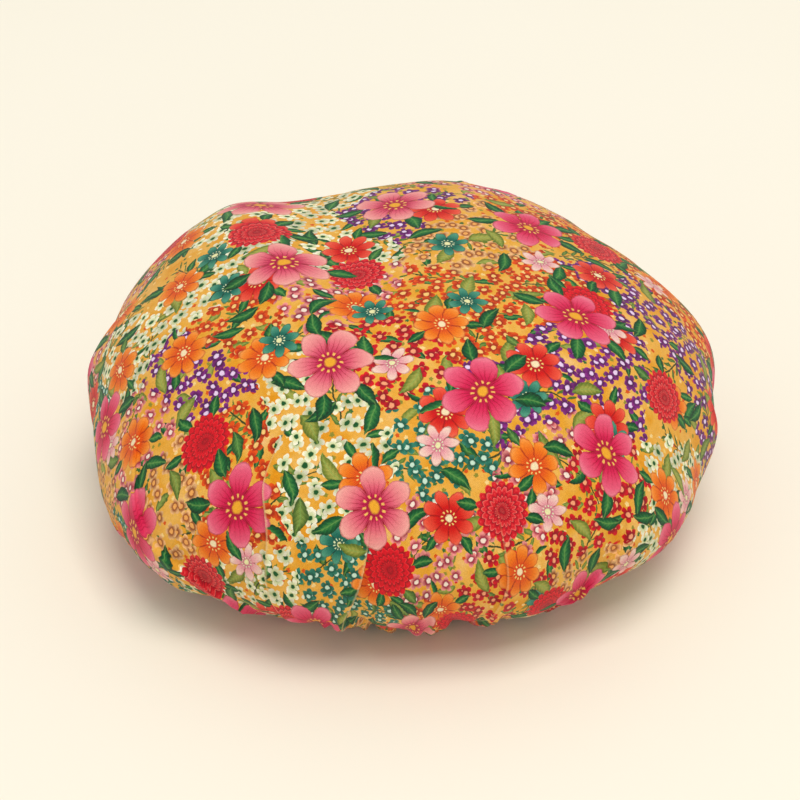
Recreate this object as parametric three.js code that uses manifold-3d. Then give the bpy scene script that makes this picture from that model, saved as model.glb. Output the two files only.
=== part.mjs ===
// Elasticated shower cap, lying mouth down on its gathered hem.
// Millimetres, +Z up. Origin on the resting plane, below the centre of the cap.
// +X is the cap's longest width, +Y points to the back, where the hem's seams are.
//
// The cap is one printed outer shell, one waterproof lining, a folded hem casing,
// an elastic loop inside the casing and the threads that sew them together.
// The soft loops and shells are cut on the plane X = 0 into a left and a right half,
// so that the elastic mouth can open: the right half swings about the crown.
// The outer shell, whose hollow holds the head, is cut on the plane Y = 0 as well.

import * as THREE from 'three';
import { mergeVertices } from 'three/addons/utils/BufferGeometryUtils.js';
import Module from 'manifold-3d';

// ---- driving dimensions -------------------------------------------------

const WIDTH = 300;             // overall width along X
const DEPTH_RATIO = 0.90;      // overall depth over overall width
const HEIGHT = 146;            // crown above the resting plane
const SHELL_T = 1.0;           // outer shell, with its small folds
const LAYER_GAP = 0.6;         // air between shell and lining
const LINING_T = 0.7;          // lining film, with its small folds
const SEGMENTS = 40;           // facets round the cap
const CUT_GAP = 0.25;          // each half stays this far from X = 0
const QUARTER_GAP = 0.1;       // front and back of the shell stay this far from Y = 0

// hem casing, a folded strip that is open upwards
const CASING_R_IN = 76.7;      // inner face of the inner leaf
const CASING_R_OUT = 82.8;     // outer face of the outer leaf
const CASING_WALL = 0.8;
const CASING_H = 12.5;

// elastic loop in the casing
const ELASTIC_R = 79.2;
const ELASTIC_T = 1.4;
const ELASTIC_Z0 = 1.3;
const ELASTIC_W = 7.0;

// sewing threads
const THREAD_R = 0.35;
const STITCH_Z = 10.6;
const STITCH_CLEAR = 0.3;      // thread stands this far off the casing

// Outer face of the shell from the crown to the hem, as [radius, height].
// It domes over, bulges past the hem, sags round it just clear of the resting
// plane, and turns over the casing's outer leaf and down into the casing.
const SHELL_PROFILE = [
  [0, HEIGHT],
  [32, 145.0],
  [62, 141.2],
  [89, 133.3],
  [112, 120.3],
  [130, 103.4],
  [142.5, 84.8],
  [149, 66.5],
  [WIDTH / 2, 54],
  [147, 41],
  [139.5, 28.5],
  [127.5, 17],
  [114, 8.8],
  [102, 5.6],
  [93.5, 7.0],
  [88.3, 10.4],
  [85.5, 14],
  [83.7, 15.4],
  [82.0, 15.0],
  [81.3, 13.2],
  [81.3, 9.6],
];

// ---- solids -------------------------------------------------------------

const wasm = await Module();
wasm.setup();

// closed three.js geometry -> solid
function solidOf(geometry) {
  const g = geometry.clone();
  for (const name of Object.keys(g.attributes)) {
    if (name !== 'position') g.deleteAttribute(name);
  }
  const m = mergeVertices(g, 1e-4);
  const index = m.getIndex().array;
  const tris = [];
  for (let i = 0; i < index.length; i += 3) {
    const [a, b, c] = [index[i], index[i + 1], index[i + 2]];
    if (a !== b && b !== c && c !== a) tris.push(a, b, c);
  }
  return new wasm.Manifold(new wasm.Mesh({
    numProp: 3,
    vertProperties: new Float32Array(m.getAttribute('position').array),
    triVerts: new Uint32Array(tris),
  }));
}

// solid -> three.js geometry
function geometryOf(solid) {
  const m = solid.getMesh();
  const g = new THREE.BufferGeometry();
  const pos = new Float32Array((m.vertProperties.length / m.numProp) * 3);
  for (let i = 0; i < pos.length / 3; i++) {
    for (let k = 0; k < 3; k++) pos[3 * i + k] = m.vertProperties[i * m.numProp + k];
  }
  g.setAttribute('position', new THREE.BufferAttribute(pos, 3));
  g.setIndex(new THREE.BufferAttribute(new Uint32Array(m.triVerts), 1));
  g.computeVertexNormals();
  return g;
}

// a profile of [radius, height] turned about Z and squeezed to the cap's oval
function ovalLathe(profile) {
  const points = profile.map(([r, h]) => new THREE.Vector2(r, h));
  const g = new THREE.LatheGeometry(points, SEGMENTS);
  g.rotateX(Math.PI / 2);
  g.scale(1, DEPTH_RATIO, 1);
  return g;
}

// the profile moved inwards by d, along its normals; the crown stays on the axis
function inset(profile, d) {
  return profile.map(([r, h], i) => {
    const a = profile[Math.max(0, i - 1)];
    const b = profile[Math.min(profile.length - 1, i + 1)];
    const t = new THREE.Vector2(b[0] - a[0], b[1] - a[1]).normalize();
    const n = new THREE.Vector2(t.y, -t.x);
    if (i === 0) return [0, h - d];
    return [r + n.x * d, h + n.y * d];
  });
}

// a shell between two insets of the outer face
function layer(d0, d1) {
  const inner = inset(SHELL_PROFILE, d1);
  const outer = inset(SHELL_PROFILE, d0).reverse();
  return ovalLathe([...inner, ...outer]);
}

// a rectangle of [r0, r1] by [z0, z1] turned about Z
function ring(r0, r1, z0, z1) {
  return ovalLathe([[r0, z1], [r0, z0], [r1, z0], [r1, z1], [r0, z1]]);
}

// a round thread lying round the hem
function threadRing(radius, z) {
  const pts = [];
  for (let i = 0; i <= 6; i++) {
    const a = -(i / 6) * Math.PI * 2;
    pts.push([radius + THREAD_R * Math.cos(a), z - THREAD_R * Math.sin(a)]);
  }
  return ovalLathe(pts);
}

// the half of space on one side of X = 0, or of Y = 0
function halfSpace(x, y, gap) {
  const size = 400;
  const box = new THREE.BoxGeometry(size, size, size);
  box.translate(x * (size / 2 + gap), y * (size / 2 + gap), size / 2 - 50);
  return solidOf(box);
}

const leftSpace = halfSpace(-1, 0, CUT_GAP);
const rightSpace = halfSpace(1, 0, CUT_GAP);
const frontSpace = halfSpace(0, -1, QUARTER_GAP);
const backSpace = halfSpace(0, 1, QUARTER_GAP);

// ---- materials ----------------------------------------------------------

const printedCloth = { color: 0xe9a23b, roughness: 0.74, metalness: 0 };
const hemCloth = { color: 0xd9852f, roughness: 0.78, metalness: 0 };
const film = { color: 0xf1ede3, roughness: 0.42, metalness: 0 };
const braid = { color: 0xf0ebe0, roughness: 0.92, metalness: 0 };
const thread = { color: 0xd8912c, roughness: 0.6, metalness: 0 };
const whiteThread = { color: 0xe9e3d6, roughness: 0.6, metalness: 0 };

const cap = new THREE.Group();

function put(name, geometry, look) {
  const mesh = new THREE.Mesh(geometry, new THREE.MeshStandardMaterial(look));
  mesh.name = name;
  cap.add(mesh);
  return mesh;
}

function putHalves(name, geometry, look) {
  const whole = solidOf(geometry);
  put(`${name}_left`, geometryOf(whole.intersect(leftSpace)), look);
  put(`${name}_right`, geometryOf(whole.intersect(rightSpace)), look);
}

function putQuarters(name, geometry, look) {
  const whole = solidOf(geometry);
  for (const [side, half] of [['left', leftSpace], ['right', rightSpace]]) {
    for (const [end, quarter] of [['front', frontSpace], ['back', backSpace]]) {
      const solid = whole.intersect(half).intersect(quarter);
      put(`${name}_${side}_${end}`, geometryOf(solid), look);
    }
  }
}

// ---- pieces -------------------------------------------------------------

putQuarters('outer_shell', layer(0, SHELL_T), printedCloth);
putHalves('lining', layer(SHELL_T + LAYER_GAP, SHELL_T + LAYER_GAP + LINING_T), film);

// casing: outer leaf, fold at the resting plane, inner leaf
putHalves('hem_casing', ovalLathe([
  [CASING_R_IN, CASING_H],
  [CASING_R_IN, 0],
  [CASING_R_OUT, 0],
  [CASING_R_OUT, CASING_H],
  [CASING_R_OUT - CASING_WALL, CASING_H],
  [CASING_R_OUT - CASING_WALL, CASING_WALL],
  [CASING_R_IN + CASING_WALL, CASING_WALL],
  [CASING_R_IN + CASING_WALL, CASING_H],
  [CASING_R_IN, CASING_H],
]), hemCloth);

putHalves('elastic_band',
  ring(ELASTIC_R, ELASTIC_R + ELASTIC_T, ELASTIC_Z0, ELASTIC_Z0 + ELASTIC_W), braid);

putHalves('hem_needle_thread',
  threadRing(CASING_R_OUT + STITCH_CLEAR + THREAD_R, STITCH_Z), thread);
putHalves('hem_bobbin_thread',
  threadRing(CASING_R_IN - STITCH_CLEAR - THREAD_R, STITCH_Z), whiteThread);

// a point on the middle of facet k, counted from the back towards the left
function facet(k, radius) {
  const step = (Math.PI * 2) / SEGMENTS;
  const a0 = Math.PI / 2 + k * step;
  const p = (a) => new THREE.Vector2(radius * Math.cos(a), DEPTH_RATIO * radius * Math.sin(a));
  const p0 = p(a0);
  const p1 = p(a0 + step);
  return {
    mid: p0.clone().add(p1).multiplyScalar(0.5),
    turn: Math.atan2(p0.y - p1.y, p0.x - p1.x),
  };
}

// zigzag bar over the elastic's overlapped ends, inside the casing
const join = facet(1, ELASTIC_R - 0.7);
const joinStitch = put('elastic_join_stitch', new THREE.BoxGeometry(6, 0.5, 5), whiteThread);
joinStitch.position.set(join.mid.x, join.mid.y, ELASTIC_Z0 + ELASTIC_W / 2);
joinStitch.rotation.z = join.turn;

// seam where the ends of the casing strip meet, on the inner leaf
const seam = facet(2, CASING_R_IN - STITCH_CLEAR - THREAD_R - 0.1);
const seamGeometry = new THREE.CylinderGeometry(THREAD_R, THREAD_R, 7.6, 8);
seamGeometry.rotateX(Math.PI / 2);
const endSeam = put('casing_end_seam', seamGeometry, whiteThread);
endSeam.position.set(seam.mid.x, seam.mid.y, 5.4);

export default cap;
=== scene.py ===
# Elasticated shower cap, lying mouth down on its gathered hem: the finished surfaces.
# Metres, +Z up, in the same frame as the solids. Most shapes below are worked out in
# millimetres and scaled at the end.

import math

import bpy
import numpy as np
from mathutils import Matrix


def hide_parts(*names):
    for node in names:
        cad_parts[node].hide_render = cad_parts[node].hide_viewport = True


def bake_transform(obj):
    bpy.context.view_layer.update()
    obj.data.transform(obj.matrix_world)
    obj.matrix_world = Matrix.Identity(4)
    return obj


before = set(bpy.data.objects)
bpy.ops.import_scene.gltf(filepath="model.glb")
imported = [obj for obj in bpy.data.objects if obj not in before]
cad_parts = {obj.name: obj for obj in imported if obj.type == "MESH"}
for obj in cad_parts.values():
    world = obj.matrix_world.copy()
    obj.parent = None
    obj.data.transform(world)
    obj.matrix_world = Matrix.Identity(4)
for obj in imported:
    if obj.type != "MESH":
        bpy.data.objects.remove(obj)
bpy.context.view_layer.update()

MM = 0.001
TAU = 2 * math.pi

# ---------------------------------------------------------------------------
# small helpers
# ---------------------------------------------------------------------------


def smooth(x, a, b):
    t = np.clip((np.asarray(x, float) - a) / (b - a), 0, 1)
    return t * t * (3 - 2 * t)


def wrap(a):
    return (np.asarray(a) + math.pi) % TAU - math.pi


class Noise:
    """Smooth lattice noise in three dimensions, about -1 to 1, the same each run."""

    def __init__(self, seed, size=32):
        self.n = size
        self.table = np.random.RandomState(seed).uniform(-1, 1, (size, size, size))

    def __call__(self, p):
        p = np.asarray(p, float)
        i = np.floor(p).astype(int)
        f = p - i
        u = f * f * f * (f * (f * 6 - 15) + 10)
        out = 0.0
        for dx in (0, 1):
            wx = u[..., 0] if dx else 1 - u[..., 0]
            for dy in (0, 1):
                wy = u[..., 1] if dy else 1 - u[..., 1]
                for dz in (0, 1):
                    wz = u[..., 2] if dz else 1 - u[..., 2]
                    v = self.table[
                        (i[..., 0] + dx) % self.n,
                        (i[..., 1] + dy) % self.n,
                        (i[..., 2] + dz) % self.n,
                    ]
                    out = out + wx * wy * wz * v
        return out


def make_object(name, verts_mm, faces):
    mesh = bpy.data.meshes.new(name)
    mesh.from_pydata((np.asarray(verts_mm) * MM).tolist(), [], faces)
    mesh.validate()
    mesh.update()
    for p in mesh.polygons:
        p.use_smooth = True
    obj = bpy.data.objects.new(name, mesh)
    bpy.context.scene.collection.objects.link(obj)
    return obj


def set_vector(obj, name, values):
    a = obj.data.attributes.new(name, "FLOAT_VECTOR", "POINT")
    a.data.foreach_set("vector", np.asarray(values, np.float32).ravel())


def set_bake_uv(obj, uv_by_vertex):
    layer = obj.data.uv_layers.new(name="OFBake")
    loops = np.empty(len(obj.data.loops), np.int32)
    obj.data.loops.foreach_get("vertex_index", loops)
    layer.data.foreach_set("uv", np.asarray(uv_by_vertex, np.float32)[loops].ravel())


# ---------------------------------------------------------------------------
# camera geometry, used for the view and for the cap's own outline
# ---------------------------------------------------------------------------

ELEVATION = math.radians(38.0)
DISTANCE = 1.25
LENS = 117.8
TARGET = np.array([-0.001, -0.0045, 0.0642])

CAM_RIGHT = np.array([1.0, 0.0, 0.0])
CAM_UP = np.array([0.0, math.sin(ELEVATION), math.cos(ELEVATION)])
CAM_AHEAD = np.array([0.0, math.cos(ELEVATION), -math.sin(ELEVATION)])

# ---------------------------------------------------------------------------
# form of the cap
# ---------------------------------------------------------------------------

DEPTH = 0.90  # depth over width

# outer face from the crown to the hem: radius across the width, and height
PROFILE = np.array(
    [
        [0, 146],
        [32, 145],
        [62, 141.2],
        [89, 133.3],
        [112, 120.3],
        [130, 103.4],
        [142.5, 84.8],
        [149, 66.5],
        [150, 54],
        [147, 41],
        [139.5, 28.5],
        [127.5, 17],
        [114, 8.8],
        [102, 5.8],
        [93.5, 7.2],
        [88.6, 10.6],
        [86.0, 14],
        [84.0, 15.6],
        [82.1, 15.2],
        [81.2, 13.2],
        [81.2, 9.8],
    ],
    float,
)


def dense_profile(points, per=16):
    p = np.vstack([[-points[1, 0], points[1, 1]], points, 2 * points[-1] - points[-2]])
    out = []
    t = np.linspace(0, 1, per, endpoint=False)[:, None]
    for i in range(1, len(p) - 2):
        a, b, c, d = p[i - 1 : i + 3]
        out.append(
            0.5
            * (
                2 * b
                + (c - a) * t
                + (2 * a - 5 * b + 4 * c - d) * t**2
                + (3 * b - a - 3 * c + d) * t**3
            )
        )
    out.append(p[-2][None])
    curve = np.vstack(out)
    arc = np.r_[0, np.cumsum(np.linalg.norm(np.diff(curve, axis=0), axis=1))]
    s = np.linspace(0, arc[-1], 1200)
    r = np.interp(s, arc, curve[:, 0])
    z = np.interp(s, arc, curve[:, 1])
    return s, r, z


ARC, ARC_R, ARC_Z = dense_profile(PROFILE)
REACH = float(ARC[-1])  # crown to hem along the cloth, mm
ARC_DR = np.gradient(ARC_R, ARC)
ARC_DZ = np.gradient(ARC_Z, ARC)


def base(rho, theta):
    """Point and outward normal of the plain form, for cloth distance rho and angle theta."""
    r = np.interp(rho, ARC, ARC_R)
    z = np.interp(rho, ARC, ARC_Z)
    dr = np.interp(rho, ARC, ARC_DR)
    dz = np.interp(rho, ARC, ARC_DZ)
    c, s = np.cos(theta), np.sin(theta)
    p = np.stack([r * c, DEPTH * r * s, z], -1)
    along = np.stack([dr * c, DEPTH * dr * s, dz], -1)
    around = np.stack([-s, DEPTH * c, np.zeros_like(c)], -1)
    n = np.cross(along, around)
    n /= np.linalg.norm(n, axis=-1, keepdims=True)
    return p, n


# How far the soft outline stands in or out of the plain form, every 10 degrees
# anticlockwise from the right as the camera sees it.
OUTLINE = np.array(
    [
        0.984, 1.007, 0.999, 0.980, 0.970, 0.975, 0.988, 1.001, 1.002, 0.982, 0.964, 0.947,
        0.971, 1.040, 1.030, 1.004, 0.995, 0.998, 0.977, 0.989, 1.023, 1.043, 1.020, 0.999,
        0.981, 0.960, 0.966, 0.979, 0.955, 0.976, 0.991, 0.989, 0.979, 1.004, 0.995, 0.965,
    ]
)  # fmt: skip


def outline_at(alpha):
    """Periodic cubic through OUTLINE."""
    x = (np.asarray(alpha) % TAU) / TAU * 36
    i = np.floor(x).astype(int)
    t = x - i
    a, b, c, d = (OUTLINE[(i + k) % 36] for k in (-1, 0, 1, 2))
    return 0.5 * (
        2 * b + (c - a) * t + (2 * a - 5 * b + 4 * c - d) * t**2 + (3 * b - a - 3 * c + d) * t**3
    )


VIEW_CENTRE = (TARGET + CAM_RIGHT * 0.0005 - CAM_UP * 0.0024) * 1000


def lopsided(p, rho):
    """The soft, uneven outline of the puffed cap."""
    d = p - VIEW_CENTRE
    u, v = d @ CAM_RIGHT, d @ CAM_UP
    k = (outline_at(np.arctan2(v, u)) - 1) * (1 - smooth(rho, 232, 276))
    return p + (k * u)[..., None] * CAM_RIGHT + (k * v)[..., None] * CAM_UP


# ---- folds ---------------------------------------------------------------

wander_noise = Noise(11)
puff_noise = Noise(5)
fine_noise = Noise(8)


def polar3(rho, theta, around, along):
    """Noise coordinates that close round the cap."""
    return np.stack(
        [around * np.cos(theta) + 40, around * np.sin(theta) + 40, rho / along + 3], -1
    )


class Pleats:
    """Soft lobes round the cap with narrow valleys between them, growing towards the hem."""

    def __init__(self, seed, edges, tops, span, power):
        rng = np.random.RandomState(seed)
        self.edges = np.sort(np.asarray(edges) % TAU)
        self.count = len(self.edges)
        self.amp = rng.uniform(0.6, 1.25, self.count)
        self.top = rng.uniform(tops[0], tops[1], self.count)
        self.span, self.power = span, power

    def __call__(self, rho, theta):
        a = np.asarray(theta) % TAU
        i = np.searchsorted(self.edges, a, side="right") - 1
        lo = np.where(i < 0, self.edges[-1] - TAU, self.edges[i])
        nxt = i + 1
        hi = np.where(nxt >= self.count, self.edges[0] + TAU, self.edges[nxt % self.count])
        i = i % self.count
        t = (a - lo) / (hi - lo)
        lobe = 1 - np.abs(2 * t - 1) ** self.power
        grow = smooth((rho - self.top[i]) / self.span, 0, 1)
        return lobe * self.amp[i] * grow


def even_edges(seed, count, jitter):
    rng = np.random.RandomState(seed)
    return (np.arange(count) + jitter * rng.uniform(-0.5, 0.5, count)) * TAU / count


def halved(seed, edges, spread):
    """The same edges, with a new one near the middle of each lobe."""
    rng = np.random.RandomState(seed)
    edges = np.sort(np.asarray(edges) % TAU)
    nxt = np.r_[edges[1:], edges[0] + TAU]
    mid = edges + (nxt - edges) * rng.uniform(0.5 - spread, 0.5 + spread, len(edges))
    return np.r_[edges, mid]


EDGES_A = even_edges(3, 15, 0.7)
EDGES_B = even_edges(21, 31, 0.8)
EDGES_C = halved(22, EDGES_B, 0.16)
EDGES_D = halved(23, EDGES_C, 0.14)
pleats_a = Pleats(31, EDGES_A, (95, 165), 95, 2.0)
pleats_b = Pleats(32, EDGES_B, (212, 240), 34, 2.0)
pleats_c = Pleats(33, EDGES_C, (236, 250), 18, 1.8)
pleats_d = Pleats(34, EDGES_D, (246, 258), 14, 1.7)


def line(points):
    """A fold line: angle in degrees at cloth distances."""
    rho = np.array([p[0] for p in points], float)
    ang = np.radians([p[1] for p in points])
    return lambda q: np.interp(q, rho, ang)


# the long fold lines on the front
FOLD_1 = line([(100, 243.2), (130, 245.2), (155, 246.1), (174, 245.8), (190, 245.9), (204, 246.5), (219, 247.3), (240, 249), (298, 250.5)])
FOLD_2 = line([(120, 265.6), (150, 264.6), (168, 264.0), (177, 263.4), (190, 262.4), (201, 261.1), (211, 259.8), (240, 257.4), (298, 256.5)])
FOLD_3 = line([(120, 285.5), (168, 286.4), (194, 287), (240, 285.5), (298, 284)])
FOLD_4 = line([(120, 204), (160, 210.5), (183, 220), (197, 229), (212, 235), (223, 239), (250, 242), (298, 243)])
FOLD_5 = line([(140, 312), (180, 309.5), (215, 306), (250, 303), (298, 302)])
FOLD_6 = line([(110, 65), (150, 63), (200, 60), (250, 61), (298, 62)])
FOLD_7 = line([(120, 128), (160, 125), (210, 128), (250, 126), (298, 126)])
FOLD_8 = line([(130, 348), (175, 351), (215, 349), (250, 352), (298, 352)])
FOLD_9 = line([(125, 171), (170, 174), (210, 171), (298, 172)])


# line, rise, half width and overlap of the bend, how far the rise eases away, raised side, start
LONG_FOLDS = [
    (FOLD_1, 3.8, 1.7, 1.50, 42, +1, 100, 160),
    (FOLD_2, 3.5, 1.7, 1.30, 38, -1, 140, 185),
    (FOLD_3, 2.8, 1.6, 0.90, 30, +1, 136, 200),
    (FOLD_4, 2.9, 1.6, 0.90, 26, -1, 118, 180),
    (FOLD_5, 3.4, 1.7, 1.20, 34, +1, 146, 205),
    (FOLD_6, 3.3, 1.7, 1.15, 36, -1, 108, 180),
    (FOLD_7, 3.0, 1.6, 0.95, 30, +1, 118, 185),
    (FOLD_8, 2.9, 1.6, 0.90, 30, -1, 128, 195),
    (FOLD_9, 3.0, 1.6, 0.95, 32, +1, 122, 190),
]


def sway(rho, theta):
    """Angle by which folds wander as they climb."""
    a = 0.035 * wander_noise(polar3(rho, theta, 3.0, 45.0)) * smooth(rho, 60, 150)
    return a * (1 - 0.8 * smooth(rho, 262, 292))


def fold_marks(rho, theta):
    """Distance from each of the three sharpest folds, mm, and how strong it is there, for the highlight lines painted
    along those folds.
    """
    r = np.maximum(np.interp(rho, ARC, ARC_R), 20)
    th = theta + sway(rho, theta)
    at, on = [], []
    for fold, crest, lo, hi in ((FOLD_1, 0.95, 104, 150), (FOLD_2, -0.95, 156, 182), (FOLD_3, 0.9, 146, 190)):
        turn = wrap(th - fold(rho))
        at.append(np.clip(turn * r - crest, -60, 60))
        on.append(smooth(rho, lo, hi) * (1 - smooth(rho, 238, 262)) * (1 - smooth(np.abs(turn), 0.2, 0.5)))
    return np.stack(at, -1), np.stack(on, -1)


def long_folds(rho, theta):
    """Cloth folded over along the lines: how far it stands up, and leans over, mm."""
    r = np.maximum(np.interp(rho, ARC, ARC_R), 20)
    th = theta + sway(rho, theta)
    up = np.zeros_like(rho)
    over = np.zeros_like(rho)
    for fold, rise, half, lap, decay, side, lo, hi in LONG_FOLDS:
        on = smooth(rho, lo, hi) * (0.3 + 0.7 * (1 - smooth(rho, 212, 244))) * (1 - 0.6 * smooth(rho, 258, 284))
        x = wrap(th - fold(rho)) * r * side
        v = np.clip((x + half) / (2 * half), 0, 1)
        up = up + rise * on * smooth(v, 0, 1) * np.exp(-np.maximum(x - half, 0) / decay)
        over = over + side * lap * on**2 * np.sin(TAU * v) * (1 - smooth(rho, 198, 220))
    keep = 1 - 0.92 * smooth(rho, 282, 292)
    return up * keep, over * keep


# little fans of tucks that peep out under the bulge: angle, spread, how many, start, height
FANS = [
    (258.2, 8.5, 4, 208, 4.2),
    (276.0, 8.0, 3, 210, 3.4),
    (287.0, 3.0, 2, 210, 3.0),
    (238.5, 3.2, 2, 210, 3.0),
    (304.0, 5.0, 3, 208, 2.4),
    (224.0, 4.0, 2, 210, 2.2),
    (330.0, 6.0, 3, 208, 2.6),
    (352.0, 4.0, 2, 206, 2.4),
    (18.0, 7.0, 4, 206, 3.0),
    (43.0, 4.0, 2, 208, 2.4),
    (71.0, 7.0, 4, 205, 3.0),
    (98.0, 5.0, 3, 207, 2.6),
    (131.0, 7.0, 4, 206, 3.0),
    (158.0, 4.0, 2, 208, 2.4),
    (186.0, 6.0, 3, 206, 2.8),
    (205.0, 3.0, 2, 208, 2.2),
]


def fans(rho, theta):
    r = np.maximum(np.interp(rho, ARC, ARC_R), 20)
    out = np.zeros_like(rho)
    for n, (at, spread, count, start, height) in enumerate(FANS):
        rng = np.random.RandomState(700 + n)
        grow = smooth(rho, start, start + 17) * (1 - smooth(rho, 246, 272))
        tucks = np.zeros_like(rho)
        for i in range(count):
            off = (i + 0.5) / count - 0.5 + rng.uniform(-0.05, 0.05)
            open_out = 0.55 + 0.45 * smooth(rho, start, start + 30)
            x = wrap(theta - np.radians(at + spread * off * open_out)) * r
            # round tucks that meet in creases
            wide = rng.uniform(0.58, 0.66) * math.radians(spread) / count * open_out * r
            round_top = np.clip(1 - (x / wide) ** 2, 0, 1) ** 0.95
            tucks = np.maximum(tucks, rng.uniform(0.8, 1.1) * round_top)
        # the cloth between the tucks is drawn in
        off = np.abs(wrap(theta - math.radians(at))) * r / (0.55 * math.radians(spread) * r + 3)
        out = out + (tucks - 0.5 * (1 - smooth(off, 0.6, 1.2))) * height * grow
    return out


def folds(rho, theta):
    """Height of the pleats and gathers over the plain form, mm."""
    th = theta + sway(rho, theta)
    # fuller folds at the back and sides, where the cloth is less drawn out
    slack = smooth(np.sin(theta), -0.5, 0.3)
    a = pleats_a(rho, th) * (2.2 + 2.9 * slack) * (1 - 0.65 * smooth(rho, 214, 270))
    b = (pleats_b(rho + 30 * slack, th) - 0.5 * smooth(rho + 14 * slack, 222, 256)) * (4.2 + 0.7 * slack) * (1 - 0.6 * smooth(rho, 266, 286))
    c = (pleats_c(rho, th) - 0.5 * smooth(rho, 240, 262)) * 4.8 * (1 - 0.8 * smooth(rho, 266, 286))
    d = (pleats_d(rho, th) - 0.5 * smooth(rho, 250, 268)) * 4.4 * (1 - 0.45 * smooth(rho, 271, 284))
    # stitched flat where it enters the casing
    return (a + b + c + d) * (1 - 0.92 * smooth(rho, 282, 292))


def uneven(p, rho):
    """Soft puffing and small creases of the cloth, mm."""
    free = 1 - smooth(rho, 270, 290)
    h = 1.5 * puff_noise(p / 62.0 + 7) + 0.65 * puff_noise(p / 27.0 + 19)
    h += 0.16 * fine_noise(p / 10.5 + 3) * (0.5 + smooth(rho, 120, 230))
    # a few soft creases left from being folded away
    for k, size in ((0, 74.0), (1, 51.0)):
        n = wander_noise(p / size + 13 + 9 * k)
        h += 0.75 * np.exp(-((n / 0.055) ** 2)) * smooth(puff_noise(p / 95.0 + 3 + k), -0.1, 0.45)
    return h * free


def shell_surface(rho, theta):
    """Outer face of the printed shell."""
    p, n = base(rho, theta)
    up, over = long_folds(rho, theta)
    h = folds(rho, theta) + uneven(p, rho) + up + fans(rho, theta)
    around = np.stack([-np.sin(theta), DEPTH * np.cos(theta), np.zeros_like(theta)], -1)
    around /= np.linalg.norm(around, axis=-1, keepdims=True)
    q = lopsided(p + n * h[..., None] + around * over[..., None], rho)
    return on_table(q, rho, 0.9)


def lining_surface(rho, theta, drop):
    """A face of the film, which follows the cloth's valleys more than its folds."""
    p, n = base(rho, theta)
    h = folds(rho, theta) + uneven(p, rho) + np.minimum(fans(rho, theta), 0)
    # it hangs clear of the dense gathers
    drop = drop + 3.5 * smooth(rho, 224, 248) * (1 - smooth(rho, 270, 285))
    h = np.where(h < 0, h, 0.9 * h) - drop
    q = lopsided(p + n * h[..., None], rho)
    return on_table(q, rho, 0.9 + drop)


def on_table(q, rho, low):
    """Folds that meet the table are flattened on it."""
    z = q[..., 2]
    eased = np.maximum(z, low) + 0.5 * np.log1p(np.exp(-np.abs(z - low) / 0.5))
    q[..., 2] = np.where(rho < 292, eased, z)
    return q


# ---- cloth grid: a square patch at the crown, rings down to the hem ---------


def disc_grid(n, inner, upper, lower, turn, crowd):
    """Flat polar places of the vertices, and the faces, of a round sheet.

    A squarish grid covers the crown. The rings round it have two vertices for each one on
    its edge; upper, lower and turn are the ring steps on the dome, in the gathers and at
    the casing. crowd is how much closer the vertices stand along the long folds.
    """
    g = np.linspace(-1, 1, n + 1)
    u, v = np.meshgrid(g, g, indexing="xy")
    k = 0.72
    x = inner * u * np.sqrt(1 - k * v * v / 2)
    y = inner * v * np.sqrt(1 - k * u * u / 2)
    rho = [np.hypot(x, y).ravel()]
    theta = [np.arctan2(y, x).ravel()]
    idx = np.arange((n + 1) ** 2).reshape(n + 1, n + 1)
    quads = [np.stack([idx[:-1, :-1], idx[:-1, 1:], idx[1:, 1:], idx[1:, :-1]], -1).reshape(-1, 4)]
    tris = []
    loop = np.r_[idx[0, :-1], idx[:-1, -1], idx[-1, :0:-1], idx[:0:-1, 0]]
    m = len(loop)
    rb, tb = rho[0][loop], theta[0][loop]
    even = math.radians(-135) + TAU * np.arange(m) / m
    tb = even + wrap(tb - even)
    c0 = rb.mean()
    # the edge's own shape, with a place between each two vertices
    rb = np.stack([rb, 0.5 * (rb + np.roll(rb, -1))], -1).ravel()
    tn = np.r_[tb[1:], tb[0] + TAU]
    tb = np.stack([tb, 0.5 * (tb + tn)], -1).ravel()

    def spread(a, b, gap):
        count = max(2, int(round((b - a) / gap)))
        return np.linspace(a, b, count + 1)[1:]

    rings = np.r_[
        spread(c0, 204.0, upper),
        spread(204.0, 262.0, lower),
        spread(262.0, 283.0, 0.5 * (lower + turn)),
        spread(283.0, REACH, turn),
    ]
    # counted from a direction that no long fold crosses
    fine = math.radians(45) + TAU * np.arange(4801) / 4800

    def angles(q, count):
        """Angles of a ring's vertices, close together along the long folds."""
        dense = np.ones_like(fine)
        for fold, _, _, _, _, _, lo, hi in LONG_FOLDS:
            at = np.full(1, fold(q))
            at = at - sway(np.full(1, q), at)
            on = crowd * smooth(q, lo - 10, hi) * (1 - 0.85 * smooth(q, 240, 275))
            dense = dense + on * np.exp(-((wrap(fine - at) / math.radians(1.0)) ** 2))
        total = np.r_[0, np.cumsum(0.5 * (dense[1:] + dense[:-1]))]
        turned = np.interp(np.arange(count) / count * total[-1], total, fine)
        return np.r_[turned[count // 2 :] - TAU, turned[: count // 2]]

    prev = loop
    start = (n + 1) ** 2
    for j, q in enumerate(rings):
        w = smooth(j + 1, 0, 14)
        rho.append((1 - w) * (rb + q - c0) + w * q)
        theta.append((1 - w) * tb + w * angles(q, 2 * m))
        ring = np.arange(start, start + 2 * m)
        start += 2 * m
        nxt, old = np.roll(ring, -1), np.roll(prev, -1)
        if len(ring) == len(prev):
            quads.append(np.stack([prev, ring, nxt, old], -1))
        else:
            a, b, c = ring[0::2], ring[1::2], np.roll(ring, -2)[0::2]
            tris.append(np.stack([prev, a, b], -1))
            tris.append(np.stack([prev, b, old], -1))
            tris.append(np.stack([old, b, c], -1))
        prev = ring
    return np.concatenate(rho), np.concatenate(theta), np.vstack(quads), np.vstack(tris), prev


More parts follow.
